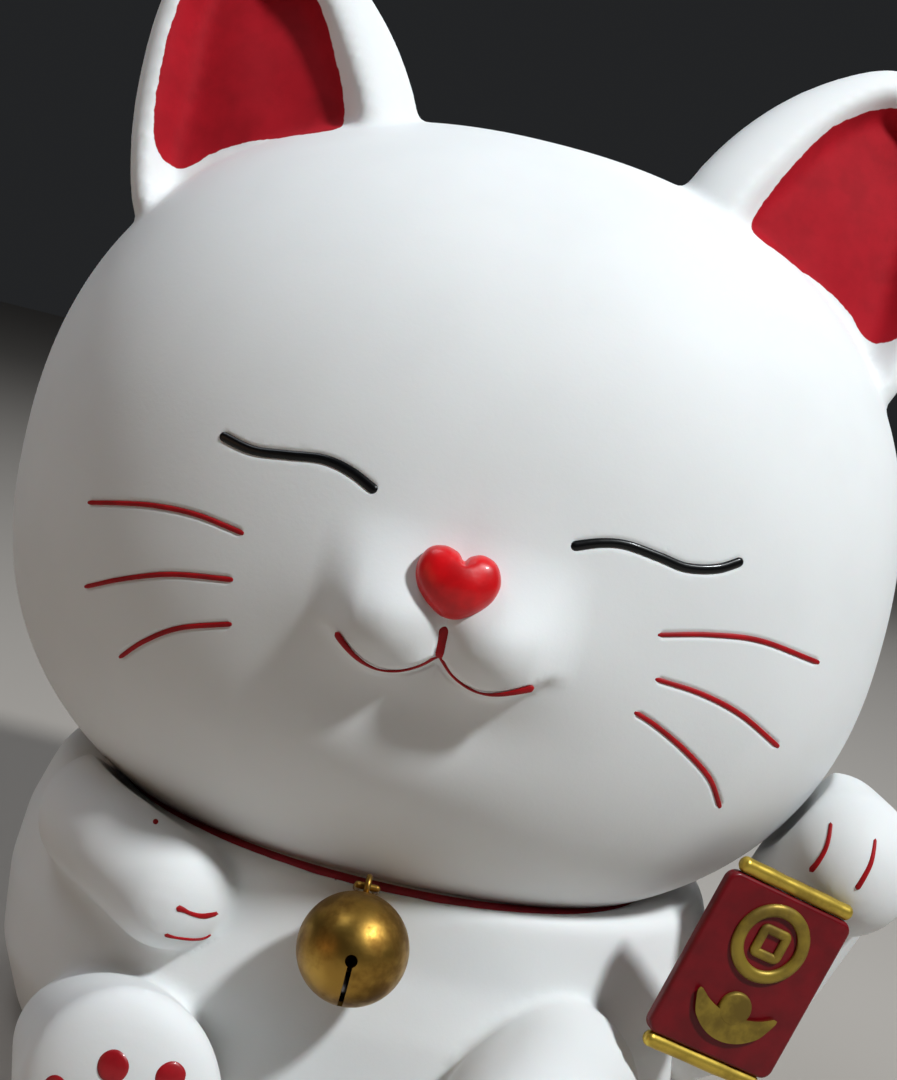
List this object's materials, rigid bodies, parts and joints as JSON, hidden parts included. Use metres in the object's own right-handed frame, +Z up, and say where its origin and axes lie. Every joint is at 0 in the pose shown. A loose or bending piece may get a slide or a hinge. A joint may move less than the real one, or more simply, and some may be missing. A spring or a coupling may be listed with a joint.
{
  "type": "beckoning cat figurine",
  "caption": "Seated beckoning cat figurine in matte white vinyl with a turning head, closed smiling eyes, red heart nose, gold bell and a raised paw that holds a small red scroll.",
  "frame": {"origin": "centre of the flat base, on the surface the cat stands on, in line with the neck axis", "axes": "+X to the cat's left, -Y the way the cat faces, +Z up along the neck axis"},
  "size_m": [0.1754, 0.1524, 0.2109],
  "materials": {
    "white_vinyl": "matte",
    "nose_red": "gloss",
    "collar_red": "satin",
    "bell_brass": "satin",
    "scroll_red": "gloss",
    "scroll_gold": "satin",
    "stopper_plastic": "matte",
    "pad_foam": "matte",
    "pellet_steel": "satin"
  },
  "bodies": {
    "torso": {"torso_shell": "white_vinyl", "right_arm": "white_vinyl", "right_foot": "white_vinyl", "left_foot": "white_vinyl", "tail": "white_vinyl", "collar_band": "collar_red", "collar_staple": "bell_brass", "base_plug": "stopper_plastic", "base_pad": "pad_foam"},
    "head": {"head_shell": "white_vinyl", "nose": "nose_red"},
    "raised_arm": {"left_arm": "white_vinyl", "scroll_panel": "scroll_red", "scroll_top_rod": "scroll_gold", "scroll_bottom_rod": "scroll_gold", "scroll_motif": "scroll_gold"},
    "bell": {"bell_upper_shell": "bell_brass", "bell_lower_shell": "bell_brass", "bell_loop": "bell_brass"},
    "pellet": {"bell_pellet": "pellet_steel"}
  },
  "joints": [
    {"name": "head_turn", "type": "hinge", "parent": "torso", "child": "head", "pos_m": [0, 0, 0.054], "axis": [0, 0, 1], "range_deg": [-20, 30]},
    {"name": "left_shoulder", "type": "hinge", "parent": "torso", "child": "raised_arm", "pos_m": [0.057, -0.012, 0.032], "axis": [1, 0, 0], "range_deg": [0, 6]},
    {"name": "bell_swing", "type": "hinge", "parent": "torso", "child": "bell", "pos_m": [-0.0015, -0.0545, 0.0534], "axis": [-1, 0, 0], "range_deg": [0, 40]},
    {"name": "pellet_rattle", "type": "slide", "parent": "bell", "child": "pellet", "axis": [0, 0, 1], "range_m": [0, 0.011]}
  ]
}
